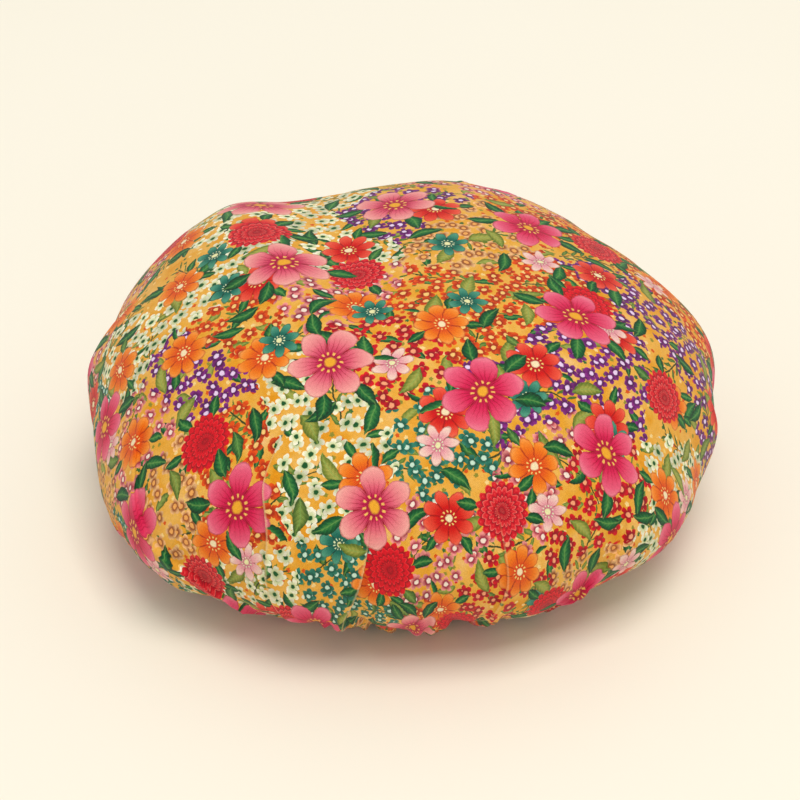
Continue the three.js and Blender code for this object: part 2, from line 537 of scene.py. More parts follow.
def vertex_normals(verts, quads, tris):
    n = np.zeros_like(verts)
    f = np.cross(verts[quads[:, 2]] - verts[quads[:, 0]], verts[quads[:, 3]] - verts[quads[:, 1]])
    for k in range(4):
        np.add.at(n, quads[:, k], f)
    f = np.cross(verts[tris[:, 1]] - verts[tris[:, 0]], verts[tris[:, 2]] - verts[tris[:, 0]])
    for k in range(3):
        np.add.at(n, tris[:, k], f)
    return n / np.linalg.norm(n, axis=1, keepdims=True)


def thin_disc(name, grid, outer, inner):
    """A round sheet of cloth with a real thickness, closed at its hem edge."""
    rho, theta, quads, tris, rim = grid
    count = len(rho)
    edge = np.stack([rim, rim + count, np.roll(rim, -1) + count, np.roll(rim, -1)], -1)
    faces = np.vstack([quads, quads[:, [0, 3, 2, 1]] + count, edge]).tolist()
    faces += np.vstack([tris, tris[:, [0, 2, 1]] + count]).tolist()
    obj = make_object(name, np.vstack([outer, inner]), faces)
    flat = np.stack([rho * np.cos(theta), rho * np.sin(theta)], -1)
    both = np.vstack([flat, flat])
    set_vector(obj, "cloth", np.c_[both, np.zeros(len(both))])
    # fold_at and fold_on place the painted highlight lines along the folds, on the outer face only
    at, on = fold_marks(rho, theta)
    set_vector(obj, "fold_at", np.vstack([at, at]))
    set_vector(obj, "fold_on", np.vstack([on, on * 0]))
    uv = np.vstack([0.5 + flat / REACH * 0.488, 0.929 + flat / REACH * 0.066])
    set_bake_uv(obj, uv)
    return obj


shell_grid = disc_grid(78, 88.0, 3.6, 3.2, 1.5, 5.0)
shell_face = shell_surface(shell_grid[0], shell_grid[1])
# thickness: square to the cloth where it folds over, square to the plain form in the gathers
shell_in = vertex_normals(shell_face, shell_grid[2], shell_grid[3])
shell_plain = smooth(shell_grid[0], 218, 236)[:, None]
shell_in = (1 - shell_plain) * shell_in + shell_plain * base(shell_grid[0], shell_grid[1])[1]
shell_back = shell_face - 0.25 * shell_in / np.linalg.norm(shell_in, axis=1, keepdims=True)
outer_shell = thin_disc("outer_shell", shell_grid, shell_face, shell_back)

lining_grid = disc_grid(72, 88.0, 4.4, 4.0, 2.0, 0.0)
lining = thin_disc(
    "waterproof_lining",
    lining_grid,
    lining_surface(lining_grid[0], lining_grid[1], 1.6),
    lining_surface(lining_grid[0], lining_grid[1], 1.85),
)

# ---------------------------------------------------------------------------
# hem: ruched casing, elastic, stitches
# ---------------------------------------------------------------------------

ruche_noise = Noise(17)
ruche = Pleats(56, even_edges(55, 92, 0.8), (-50, -40), 10, 1.8)
STITCH_Z = 10.6

# the folded strip's section: outer leaf, fold on the resting plane, inner leaf
SECTION = np.array(
    [
        [82.75, 13.0],
        [82.75, 10.6],
        [83.1, 7.0],
        [83.0, 3.5],
        [82.0, 1.4],
        [79.9, 0.75],
        [77.9, 1.4],
        [76.9, 3.5],
        [76.7, 7.0],
        [77.0, 10.6],
        [77.0, 13.0],
    ],
    float,
)


def section(count):
    """Points and outward normals along the strip's section."""
    arc = np.r_[0, np.cumsum(np.linalg.norm(np.diff(SECTION, axis=0), axis=1))]
    s = np.linspace(0, arc[-1], count)
    p = np.c_[np.interp(s, arc, SECTION[:, 0]), np.interp(s, arc, SECTION[:, 1])]
    for _ in range(6):
        p[1:-1] = 0.5 * p[1:-1] + 0.25 * (p[:-2] + p[2:])
    t = np.gradient(p, axis=0)
    t /= np.linalg.norm(t, axis=1, keepdims=True)
    n = np.c_[-t[:, 1], t[:, 0]]
    return s, p, n


SEC_S, SEC_P, SEC_N = section(41)


def ruching(theta, k):
    """Outward wrinkles of the casing at section station k (array), mm."""
    z = SEC_P[k, 1]
    pinch = np.exp(-(((z - STITCH_Z) / 1.3) ** 2))
    open_edge = smooth(z, 11.3, 13.0)
    a = 1.9 * (1 - 0.8 * pinch) * (1 - 0.35 * open_edge)
    a = a * (0.15 + 0.85 * smooth(z, 0.8, 4.5))
    sway = 0.02 * ruche_noise(np.stack([6 * np.cos(theta) + 9, 6 * np.sin(theta) + 9, SEC_S[k] / 7.0], -1))
    w = ruche(np.zeros_like(theta), theta + sway) - 0.45
    w = w + 0.25 * ruche_noise(np.stack([30 * np.cos(theta) + 50, 30 * np.sin(theta) + 50, SEC_S[k] / 3.5], -1))
    return a * w


def casing_points(theta, k, lift=0.0):
    h = ruching(theta, k) + lift
    rz = SEC_P[k] + SEC_N[k] * h[..., None]
    z = np.maximum(rz[..., 1], 0.0)
    return np.stack([rz[..., 0] * np.cos(theta), DEPTH * rz[..., 0] * np.sin(theta), z], -1)


def build_casing():
    around = 620
    across = len(SEC_S)
    th = TAU * np.arange(around) / around
    T, K = np.meshgrid(th, np.arange(across), indexing="ij")
    face = casing_points(T.ravel(), K.ravel(), 0.0)
    back = casing_points(T.ravel(), K.ravel(), -0.42)
    # keep the cloth's own thickness where the fold lies flat on the resting plane
    back[:, 2] = np.maximum(back[:, 2], face[:, 2] * 0 + np.minimum(face[:, 2] + 0.3, 0.42))
    count = around * across
    i = np.arange(around)
    j = (i + 1) % around
    quads = []
    for k in range(across - 1):
        quads.append(np.stack([i * across + k, i * across + k + 1, j * across + k + 1, j * across + k], -1))
    quads = np.vstack(quads)
    top = np.stack([i * across, j * across, j * across + count, i * across + count], -1)
    low = np.stack([i * across + across - 1, i * across + across - 1 + count, j * across + across - 1 + count, j * across + across - 1], -1)
    faces = np.vstack([quads, quads[:, [0, 3, 2, 1]] + count, top, low]).tolist()
    obj = make_object("hem_casing", np.vstack([face, back]), faces)
    strip = np.c_[T.ravel() * 81 * 1.55 + 37, SEC_S[K.ravel()] * 1.0 + 410, np.zeros(count)]
    set_vector(obj, "cloth", np.vstack([strip, strip]))
    return obj


hem_casing = build_casing()


def sweep(paths, radius, sides=7, flat=1.0):
    """Round-ended threads along the given paths: one mesh of many short pieces."""
    verts, faces = [], []
    for path in paths:
        path = np.asarray(path, float)
        t = np.gradient(path, axis=0)
        t /= np.linalg.norm(t, axis=1, keepdims=True)
        up = np.array([0.0, 0.0, 1.0])
        if abs(t[0] @ up) > 0.9:
            up = np.array([1.0, 0.0, 0.0])
        m = len(path)
        x = np.linspace(-1, 1, m)
        swell = np.sqrt(np.clip(1 - np.abs(x) ** 6, 0.06, 1))
        start = len(verts)
        ang = TAU * np.arange(sides) / sides
        for q in range(m):
            a = np.cross(t[q], up)
            a /= np.linalg.norm(a)
            b = np.cross(a, t[q])
            ring = path[q] + radius * swell[q] * (
                np.cos(ang)[:, None] * a * flat + np.sin(ang)[:, None] * b
            )
            verts.extend(ring)
        for q in range(m - 1):
            for c in range(sides):
                d = (c + 1) % sides
                faces.append((start + q * sides + c, start + q * sides + d, start + (q + 1) * sides + d, start + (q + 1) * sides + c))
        faces.append(tuple(start + c for c in range(sides))[::-1])
        faces.append(tuple(start + (m - 1) * sides + c for c in range(sides)))
    return np.array(verts), faces


def stitch_row(name, station, count, lift, dip):
    """A row of lockstitches lying in the casing's pinched line."""
    paths = []
    for i in range(count):
        a0 = TAU * (i + 0.06) / count
        a1 = TAU * (i + 0.94) / count
        a = np.linspace(a0, a1, 9)
        k = np.full(9, station)
        x = np.linspace(-1, 1, 9)
        h = lift - dip * x**4
        p = casing_points(a, k, 0.0)
        out = np.stack([np.cos(a), np.sin(a), np.zeros(9)], -1) * (1 if station < 20 else -1)
        # the thread is pulled straight between its two holes
        p = p * 0.45 + (p[0] + (p[-1] - p[0]) * np.linspace(0, 1, 9)[:, None]) * 0.55
        paths.append(p + out * h[:, None])
    verts, faces = sweep(paths, 0.27, 7)
    return make_object(name, verts, faces)


OUT_ROW = int(np.argmin(np.abs(SEC_P[:15, 1] - STITCH_Z)))
IN_ROW = len(SEC_S) - 1 - int(np.argmin(np.abs(SEC_P[::-1][:15, 1] - STITCH_Z)))
needle_thread = stitch_row("hem_needle_thread", OUT_ROW, 176, 0.30, 0.42)
bobbin_thread = stitch_row("hem_bobbin_thread", IN_ROW, 176, 0.30, 0.42)


def build_elastic():
    """A flat ribbed band, its ends overlapped at the back."""
    ribs = 6
    across = 25
    w = np.linspace(-1, 1, across)
    z = 5.0 + 3.1 * w
    rib = 0.12 * np.cos(w * ribs * math.pi) * (1 - np.abs(w) ** 8)
    half = 0.55 * np.sqrt(np.clip(1 - np.abs(w) ** 10, 0.08, 1))
    lap = math.radians(9)
    a0 = math.radians(96)
    stations = 560
    s = np.linspace(0, TAU + lap, stations)
    th = a0 + s
    mid = 79.45 + 1.25 * smooth(s, TAU * 0.82, TAU * 0.99)
    mid = mid + 0.22 * np.sin(th * 23) * smooth(s, 0.1, 0.5) * (1 - smooth(s, TAU - 0.5, TAU - 0.05))
    ring = np.r_[np.c_[half + rib, z], np.c_[-(half + rib), z][::-1]]
    m = len(ring)
    ro = mid[:, None] + ring[None, :, 0]
    v = np.stack([ro * np.cos(th)[:, None], DEPTH * ro * np.sin(th)[:, None], np.repeat(ring[None, :, 1], stations, 0)], -1).reshape(-1, 3)
    faces = []
    for i in range(stations - 1):
        for c in range(m):
            d = (c + 1) % m
            faces.append((i * m + c, (i + 1) * m + c, (i + 1) * m + d, i * m + d))
    faces.append(tuple(range(m)))
    faces.append(tuple((stations - 1) * m + c for c in range(m))[::-1])
    obj = make_object("elastic_band", v, faces)
    set_vector(obj, "cloth", np.stack([np.repeat(s * 79, m), np.tile(ring[:, 1], stations), np.zeros(stations * m)], -1))
    return obj


elastic_band = build_elastic()


def build_join():
    """Zigzag bar through the elastic's overlapped ends."""
    paths = []
    for turn in range(9):
        a = math.radians(97.2 + turn * 0.72)
        b = a + math.radians(0.36)
        c = a + math.radians(0.72)
        for (p0, z0), (p1, z1) in (((a, 2.9), (b, 7.2)), ((b, 7.2), (c, 2.9))):
            t = np.linspace(0, 1, 7)
            th = p0 + (p1 - p0) * t
            z = z0 + (z1 - z0) * t
            r = 78.55 - 0.12 * np.sin(t * math.pi)
            paths.append(np.stack([r * np.cos(th), DEPTH * r * np.sin(th), z], -1))
    verts, faces = sweep(paths, 0.2, 6)
    return make_object("elastic_join_zigzag", verts, faces)


def build_end_seam():
    """Short row of stitches up the inside of the casing, where its strip ends meet."""
    a = math.radians(112.5)
    inner = [k for k in range(21, len(SEC_S)) if 1.8 < SEC_P[k, 1] < 9.4]
    z0, z1 = 2.0, 9.2
    paths = []
    for i in range(4):
        lo = z0 + (z1 - z0) * (i + 0.08) / 4
        hi = z0 + (z1 - z0) * (i + 0.92) / 4
        z = np.linspace(lo, hi, 8)
        k = np.array([min(inner, key=lambda q: abs(SEC_P[q, 1] - zz)) for zz in z])
        p = casing_points(np.full(8, a), k, 0.0)
        p[:, 2] = z
        x = np.linspace(-1, 1, 8)
        p[:, 0] -= math.cos(a) * (0.30 - 0.35 * x**4)
        p[:, 1] -= math.sin(a) * (0.30 - 0.35 * x**4)
        paths.append(p)
    verts, faces = sweep(paths, 0.26, 7)
    return make_object("casing_end_stitches", verts, faces)


join_stitch = build_join()
end_seam = build_end_seam()

# ---------------------------------------------------------------------------
# materials
# ---------------------------------------------------------------------------


def srgb(r, g, b):
    def one(c):
        c = c / 255
        return c / 12.92 if c <= 0.04045 else ((c + 0.055) / 1.055) ** 2.4

    return (one(r), one(g), one(b), 1.0)


class Shader:
    """Short names for building a node tree."""

    def __init__(self, name):
        self.mat = bpy.data.materials.new(name)
        self.mat.use_nodes = True
        self.tree = self.mat.node_tree
        self.tree.nodes.clear()
        self.out = self.node("ShaderNodeOutputMaterial")
        self.bsdf = self.node("ShaderNodeBsdfPrincipled")
        self.tree.links.new(self.bsdf.outputs[0], self.out.inputs[0])

    def node(self, kind, **props):
        n = self.tree.nodes.new(kind)
        for k, v in props.items():
            setattr(n, k, v)
        return n

    def put(self, socket, value):
        if value is None:
            return
        if isinstance(value, bpy.types.NodeSocket):
            self.tree.links.new(value, socket)
        else:
            socket.default_value = value

    def math(self, op, a, b=None, c=None, clamp=False):
        n = self.node("ShaderNodeMath", operation=op, use_clamp=clamp)
        for s, v in zip(n.inputs, (a, b, c)):
            self.put(s, v)
        return n.outputs[0]

    def vec(self, op, a, b=None, c=None, scale=None):
        n = self.node("ShaderNodeVectorMath", operation=op)
        for s, v in zip(n.inputs, (a, b, c)):
            self.put(s, v)
        if scale is not None:
            self.put(n.inputs["Scale"], scale)
        return n.outputs["Value"] if op in ("LENGTH", "DOT_PRODUCT", "DISTANCE") else n.outputs[0]

    def split(self, v):
        n = self.node("ShaderNodeSeparateXYZ")
        self.put(n.inputs[0], v)
        return n.outputs[0], n.outputs[1], n.outputs[2]

    def join(self, x, y, z=0.0):
        n = self.node("ShaderNodeCombineXYZ")
        for s, v in zip(n.inputs, (x, y, z)):
            self.put(s, v)
        return n.outputs[0]

    def range(self, v, a, b, c=0.0, d=1.0, soft=True):
        n = self.node("ShaderNodeMapRange", interpolation_type="SMOOTHSTEP" if soft else "LINEAR", clamp=True)
        for s, x in zip(n.inputs, (v, a, b, c, d)):
            self.put(s, x)
        return n.outputs[0]

    def mix(self, f, a, b, how="MIX"):
        n = self.node("ShaderNodeMix", data_type="RGBA", blend_type=how)
        self.put(n.inputs[0], f)
        self.put(n.inputs[6], a)
        self.put(n.inputs[7], b)
        return n.outputs[2]

    def ramp(self, f, stops, how="LINEAR"):
        n = self.node("ShaderNodeValToRGB")
        n.color_ramp.interpolation = how
        e = n.color_ramp.elements
        while len(e) < len(stops):
            e.new(0.5)
        for i, (pos, col) in enumerate(stops):
            e[i].position = pos
            e[i].color = col
        self.put(n.inputs[0], f)
        return n.outputs[0]

    def noise(self, v, scale, detail=2.0, rough=0.5, dims="3D"):
        n = self.node("ShaderNodeTexNoise", noise_dimensions=dims)
        self.put(n.inputs["Vector"], v)
        n.inputs["Scale"].default_value = scale
        n.inputs["Detail"].default_value = detail
        n.inputs["Roughness"].default_value = rough
        return n

    def attribute(self, name):
        n = self.node("ShaderNodeAttribute", attribute_type="GEOMETRY", attribute_name=name)
        return n.outputs["Vector"]

    def bump(self, height, strength, distance, normal=None):
        n = self.node("ShaderNodeBump")
        n.inputs["Strength"].default_value = strength
        n.inputs["Distance"].default_value = distance
        self.put(n.inputs["Height"], height)
        self.put(n.inputs["Normal"], normal)
        return n.outputs[0]


class Floral(Shader):
    """All-over floral print in layers, each motif inside its own jittered cell."""

    def cells(self, p, cell, turn, shift, jitter, seed):
        m = self.node("ShaderNodeMapping", vector_type="POINT")
        self.put(m.inputs["Vector"], p)
        m.inputs["Location"].default_value = (shift[0], shift[1], 0)
        m.inputs["Rotation"].default_value = (0, 0, math.radians(turn))
        m.inputs["Scale"].default_value = (1 / cell, 1 / cell, 0)
        x, y, _ = self.split(m.outputs[0])
        row = self.math("FLOOR", y)
        odd = self.math("FLOORED_MODULO", row, 2.0)
        x = self.math("MULTIPLY_ADD", odd, 0.5, x)
        q = self.join(x, y, 0.0)
        home = self.vec("FLOOR", q)
        w = self.node("ShaderNodeTexWhiteNoise", noise_dimensions="3D")
        self.put(w.inputs["Vector"], self.vec("ADD", home, (seed * 3.1, seed * 1.7, seed * 0.9)))
        f = self.vec("SUBTRACT", q, home)
        f = self.vec("ADD", f, (jitter - 0.5, jitter - 0.5, 0))
        d = self.vec("MULTIPLY_ADD", w.outputs["Color"], (-2 * jitter, -2 * jitter, 0), f)
        d = self.vec("MULTIPLY", d, (cell, cell, 0))
        r = self.node("ShaderNodeVectorRotate", rotation_type="Z_AXIS")
        self.put(r.inputs["Vector"], d)
        self.put(r.inputs["Angle"], self.math("MULTIPLY", w.outputs["Value"], TAU))
        sep = self.node("ShaderNodeSeparateColor")
        self.put(sep.inputs[0], w.outputs["Color"])
        centre = self.vec("SUBTRACT", q, self.vec("MULTIPLY", d, (1 / cell, 1 / cell, 0)))
        return {
            "d": r.outputs[0],
            "id": centre,
            "r": sep.outputs[0],
            "g": sep.outputs[1],
            "b": sep.outputs[2],
            "v": w.outputs["Value"],
        }

    def polar(self, d):
        x, y, _ = self.split(d)
        return self.vec("LENGTH", d), self.math("ARCTAN2", y, x)

    def bloom(self, r, phi, n, size, notch, power):
        """Distance inside the outline of a round flower, and how far across a petal."""
        c = self.math("ABSOLUTE", self.math("COSINE", self.math("MULTIPLY", phi, n / 2)))
        rim = self.math("MULTIPLY_ADD", self.math("POWER", c, power), size * (1 - notch), size * notch)
        return self.math("SUBTRACT", rim, r), c


def floral_cloth(name):
    s = Floral(name)
    raw = s.attribute("cloth")
    # hand-painted wobble, coarse and fine
    wob = s.noise(raw, 0.11, 1.0)
    rag = s.noise(raw, 0.7, 1.0)
    p = s.vec("MULTIPLY_ADD", wob.outputs["Color"], (2.6, 2.6, 0), raw)
    p = s.vec("MULTIPLY_ADD", rag.outputs["Color"], (0.9, 0.9, 0), p)
    p = s.vec("MULTIPLY", p, (1, 1, 0))

    # ground: golden, mottled as dye on woven cloth
    mott = s.noise(raw, 0.05, 3.0, 0.62)
    col = s.ramp(
        mott.outputs[0],
        [(0.30, srgb(230, 152, 48)), (0.45, srgb(236, 172, 74)), (0.6, srgb(241, 186, 98)), (0.74, srgb(245, 197, 134))],
    )

    region = s.node("ShaderNodeTexVoronoi", voronoi_dimensions="2D", feature="F1")
    region.inputs["Scale"].default_value = 1 / 50.0
    region.inputs["Randomness"].default_value = 1.0
    s.put(region.inputs["Vector"], s.vec("MULTIPLY_ADD", wob.outputs["Color"], (14, 14, 0), p))
    zone = s.node("ShaderNodeSeparateColor")
    s.put(zone.inputs[0], region.outputs["Color"])
    za = zone.outputs[0]

    # small seeds and specks between the flowers
    k = s.cells(p, 5.4, 17, (3.3, 1.2), 0.26, 1)
    r, phi = s.polar(k["d"])
    e, _ = s.bloom(r, phi, 5, 1.3, 0.62, 0.6)
    on = s.math("GREATER_THAN", k["g"], 0.25)
    m = s.math("MULTIPLY", s.range(e, 0, 0.35), on)
    seed_col = s.ramp(
        k["b"],
        [(0.0, srgb(251, 218, 150)), (0.26, srgb(222, 92, 44)), (0.46, srgb(60, 108, 52)), (0.62, srgb(146, 140, 54)), (0.88, srgb(246, 206, 120))],
        "CONSTANT",
    )
    col = s.mix(m, col, seed_col)

    def paint_leaf(x, side, e, width, tone, dark, light):
        rib = s.range(side, 0.15, 0.5, 1.0, 0.0)
        veins = s.math("SINE", s.math("MULTIPLY", s.math("SUBTRACT", x, side), 2.6))
        shade = s.math("MULTIPLY_ADD", veins, 0.09, s.range(e, 0.0, width * 0.9, 0.0, 0.62))
        shade = s.math("MULTIPLY_ADD", tone, 0.38, shade)
        c = s.ramp(shade, [(0.0, dark), (0.5, light), (1.0, srgb(78, 146, 72))])
        old = s.ramp(shade, [(0.0, srgb(58, 84, 30)), (0.5, srgb(122, 134, 52)), (1.0, srgb(172, 170, 84))])
        c = s.mix(s.range(tone, 0.46, 0.54), c, old)
        return s.mix(s.math("MULTIPLY", rib, 0.4), c, srgb(128, 172, 92))

    DARK, MID = srgb(8, 48, 28), srgb(22, 96, 48)

    def leaves(col, cell, turn, shift, seed, length, width, chance):
        k = s.cells(p, cell, turn, shift, max(0.02, 0.5 - (length + 0.4) / cell), seed)
        x, y, _ = s.split(k["d"])
        bent = s.math("MULTIPLY_ADD", s.math("MULTIPLY", x, x), 0.2 / length, y)
        bent = s.math("SUBTRACT", bent, 0.1 * length)
        side = s.math("ABSOLUTE", bent)
        t = s.math("DIVIDE", x, length)
        skew = s.math("MULTIPLY_ADD", t, -0.25, 1.0)
        wide = s.math("MULTIPLY", s.math("SUBTRACT", 1.0, s.math("MULTIPLY", t, t)), skew)
        e = s.math("MULTIPLY_ADD", wide, width, s.math("MULTIPLY", side, -1.0))
        on = s.math("LESS_THAN", k["g"], chance)
        m = s.math("MULTIPLY", s.range(e, 0, 0.4), on)
        return s.mix(m, col, paint_leaf(x, side, e, width, k["b"], DARK, MID))

    def sprigs(col, cell, turn, shift, seed, half, gap, chance):
        """A curved stem with pairs of leaves that shrink towards its tip."""
        k = s.cells(p, cell, turn, shift, max(0.02, 0.5 - (half + 1.0) / cell), seed)
        x, y, _ = s.split(k["d"])
        y = s.math("MULTIPLY_ADD", s.math("MULTIPLY", x, x), 0.014, s.math("SUBTRACT", y, 1.6))
        away = s.math("ABSOLUTE", y)
        u = s.math("DIVIDE", s.math("SUBTRACT", x, away), gap)
        fr = s.math("SUBTRACT", s.math("FRACT", u), 0.5)
        across = s.math("ABSOLUTE", s.math("MULTIPLY", fr, gap * 0.72))
        t = s.math("DIVIDE", s.math("SUBTRACT", s.math("MULTIPLY", away, 1.41), gap * 0.74), gap * 0.66)
        taper = s.range(x, -half, half, gap * 0.30, gap * 0.15, False)
        e = s.math("SUBTRACT", s.math("MULTIPLY", s.math("SUBTRACT", 1.0, s.math("MULTIPLY", t, t)), taper), across)
        inside = s.math("LESS_THAN", s.math("ABSOLUTE", s.math("SUBTRACT", x, away)), half)
        on = s.math("MULTIPLY", s.math("LESS_THAN", k["g"], chance), inside)
        stem = s.math("MULTIPLY", s.range(away, 0.25, 0.6, 1.0, 0.0), s.math("LESS_THAN", s.math("ABSOLUTE", x), half))
        stem = s.math("MULTIPLY", stem, s.math("LESS_THAN", k["g"], chance))
        col = s.mix(stem, col, srgb(52, 66, 28))
        c = s.ramp(s.math("MULTIPLY_ADD", k["b"], 0.45, s.range(e, 0, gap * 0.28, 0.0, 0.6)), [(0.0, srgb(36, 74, 32)), (0.5, srgb(84, 122, 50)), (1.0, srgb(150, 158, 76))])
        return s.mix(s.math("MULTIPLY", s.range(e, 0, 0.4), on), col, c)

    col = leaves(col, 15.5, 31, (1.7, 4.1), 2, 6.6, 2.5, 0.62)
    col = sprigs(col, 41.0, 58, (2.9, 6.3), 11, 15.5, 5.4, 0.8)

    def florets(col, cell, turn, shift, seed, size):
        k = s.cells(p, cell, turn, shift, 0.5 - size / cell - 0.02, seed)
        r, phi = s.polar(k["d"])
        e, c = s.bloom(r, phi, 5, size, 0.46, 0.6)
        on = s.math("MULTIPLY", s.math("LESS_THAN", za, 0.88), s.math("LESS_THAN", k["g"], 0.9))
        m = s.math("MULTIPLY", s.range(e, 0, 0.4), on)
        at = (0.0, 0.11, 0.25, 0.45, 0.57, 0.67, 0.78)
        outer = s.ramp(za, list(zip(at, (srgb(218, 32, 44), srgb(134, 46, 130), srgb(248, 242, 218), srgb(244, 156, 150), srgb(232, 92, 48), srgb(54, 130, 108), srgb(250, 196, 140)))), "CONSTANT")
        inner = s.ramp(za, list(zip(at, (srgb(150, 8, 30), srgb(84, 18, 84), srgb(206, 214, 160), srgb(150, 22, 60), srgb(176, 40, 20), srgb(16, 86, 68), srgb(150, 74, 34)))), "CONSTANT")
        eye = s.ramp(za, list(zip(at, (srgb(250, 170, 130), srgb(240, 214, 246), srgb(20, 84, 38), srgb(252, 232, 216), srgb(250, 206, 130), srgb(206, 234, 214), srgb(246, 176, 104)))), "CONSTANT")
        t = s.math("DIVIDE", r, size)
        body = s.mix(s.range(t, 0.28, 0.9), inner, outer)
        gap = s.math("MULTIPLY", s.range(c, 0.0, 0.36, 1.0, 0.0), s.range(t, 0.3, 0.5))
        body = s.mix(s.math("MULTIPLY", gap, 0.75), body, inner)
        lift = s.math("MULTIPLY_ADD", k["b"], 0.4, 0.76)
        body = s.mix(1.0, body, lift, "MULTIPLY")
        body = s.mix(s.range(t, 0.22, 0.36, 1.0, 0.0), body, eye)
        return s.mix(m, col, body)

    col = florets(col, 10.2, 8, (0.4, 2.3), 3, 4.3)
    col = florets(col, 10.2, 53, (5.9, 7.7), 4, 4.1)
    col = leaves(col, 25.0, 67, (9.2, 3.6), 5, 9.4, 3.6, 0.66)

    def wreath(col, k, r, phi, n, start, length, width, share):
        """Leaves that stand out from behind a flower."""
        turn = s.math("MULTIPLY", phi, n / TAU)
        which = s.math("FLOOR", turn)
        a = s.math("MULTIPLY", s.math("SUBTRACT", s.math("SUBTRACT", turn, which), 0.5), TAU / n)
        w = s.node("ShaderNodeTexWhiteNoise", noise_dimensions="2D")
        s.put(w.inputs["Vector"], s.join(which, s.math("MULTIPLY", k["v"], 97.0), 0.0))
        x = s.math("SUBTRACT", s.math("MULTIPLY", r, s.math("COSINE", a)), start + length)
        y = s.math("MULTIPLY", r, s.math("SINE", a))
        y = s.math("MULTIPLY_ADD", s.math("MULTIPLY", x, x), 0.018, y)
        side = s.math("ABSOLUTE", y)
        t = s.math("DIVIDE", x, length)
        wide = s.math("MULTIPLY", s.math("SUBTRACT", 1.0, s.math("MULTIPLY", t, t)), width)
        e = s.math("SUBTRACT", wide, side)
        on = s.math("MULTIPLY", s.math("LESS_THAN", w.outputs["Value"], share), k["on"])
        m = s.math("MULTIPLY", s.range(e, 0, 0.4), on)
        return s.mix(m, col, paint_leaf(x, side, e, width, w.outputs["Value"], DARK, MID))

    def flower(col, cell, turn, shift, seed, size, n, notch, power, chance, stops, eye, veins, second, wings=None):
        reach = size if wings is None else wings[1] + 2 * wings[2]
        k = s.cells(p, cell, turn, shift, max(0.03, 0.5 - (reach + 0.5) / cell), seed)
        r, phi = s.polar(k["d"])
        k["on"] = s.math("LESS_THAN", k["g"], chance)
        if wings:
            col = wreath(col, k, r, phi, *wings)
        e, c = s.bloom(r, phi, n, size, notch, power)
        m = s.math("MULTIPLY", s.range(e, 0, 0.5), k["on"])
        t = s.math("DIVIDE", r, size)
        body = s.mix(s.math("GREATER_THAN", k["b"], 0.55), s.ramp(t, stops), s.ramp(t, second))
        # petal edges, veins and a thin darker outline
        dark = s.mix(1.0, body, srgb(170, 78, 92), "MULTIPLY")
        fine = s.math("ABSOLUTE", s.math("SINE", s.math("MULTIPLY", phi, n * 2.5)))
        fine = s.math("MULTIPLY", s.range(fine, 0.0, 0.5, 1.0, 0.0), s.range(t, 0.2, 0.85, veins, 0.0))
        gap = s.math("MULTIPLY", s.range(c, 0.0, 0.3, 0.95, 0.0), s.range(t, 0.22, 0.42))
        rim = s.range(e, 0.35, 1.3, 0.6, 0.0)
        body = s.mix(s.math("MAXIMUM", s.math("MAXIMUM", fine, gap), rim), body, dark)
        # stamens round the eye
        dots = s.math("SINE", s.math("MULTIPLY", phi, 11.0))
        ring = s.math("MULTIPLY", s.range(dots, 0.1, 0.7), s.range(s.math("ABSOLUTE", s.math("SUBTRACT", t, 0.25)), 0.02, 0.06, 1.0, 0.0))
        body = s.mix(ring, body, eye[1])
        body = s.mix(s.range(t, 0.10, 0.17, 1.0, 0.0), body, eye[0])
        return s.mix(m, col, body)

    # orange, apricot and coral flowers
    col = flower(
        col, 45.0, 24, (2.1, 6.4), 6, 13.4, 8, 0.62, 0.6, 0.68,
        [(0.0, srgb(206, 48, 18)), (0.35, srgb(234, 92, 34)), (0.8, srgb(248, 146, 70)), (1.0, srgb(250, 172, 100))],
        (srgb(250, 232, 190), srgb(250, 216, 130)), 0.65,
        [(0.0, srgb(160, 12, 26)), (0.4, srgb(216, 46, 46)), (0.85, srgb(240, 98, 80)), (1.0, srgb(246, 134, 108))],
        (5, 9.6, 5.6, 2.7, 0.5),
    )  # fmt: skip
    # teal and pale flowers
    col = flower(
        col, 51.0, 71, (7.5, 1.9), 7, 10.4, 7, 0.5, 0.9, 0.6,
        [(0.0, srgb(8, 64, 58)), (0.45, srgb(32, 112, 94)), (1.0, srgb(94, 166, 136))],
        (srgb(240, 236, 180), srgb(226, 236, 190)), 0.5,
        [(0.0, srgb(176, 60, 110)), (0.4, srgb(240, 170, 176)), (1.0, srgb(252, 228, 206))],
    )  # fmt: skip

    # leaves that overlap the smaller flowers
    col = leaves(col, 36.0, 49, (4.4, 9.9), 10, 8.8, 3.3, 0.45)

    # many-petalled red flowers
    def pompon(col, cell, turn, shift, seed, size, chance, wings):
        k = s.cells(p, cell, turn, shift, max(0.03, 0.5 - (wings[1] + 2 * wings[2] + 0.5) / cell), seed)
        r, phi = s.polar(k["d"])
        k["on"] = s.math("LESS_THAN", k["g"], chance)
        col = wreath(col, k, r, phi, *wings)
        e, c = s.bloom(r, phi, 19, size, 0.84, 0.7)
        m = s.math("MULTIPLY", s.range(e, 0, 0.5), k["on"])
        t = s.math("DIVIDE", r, size)
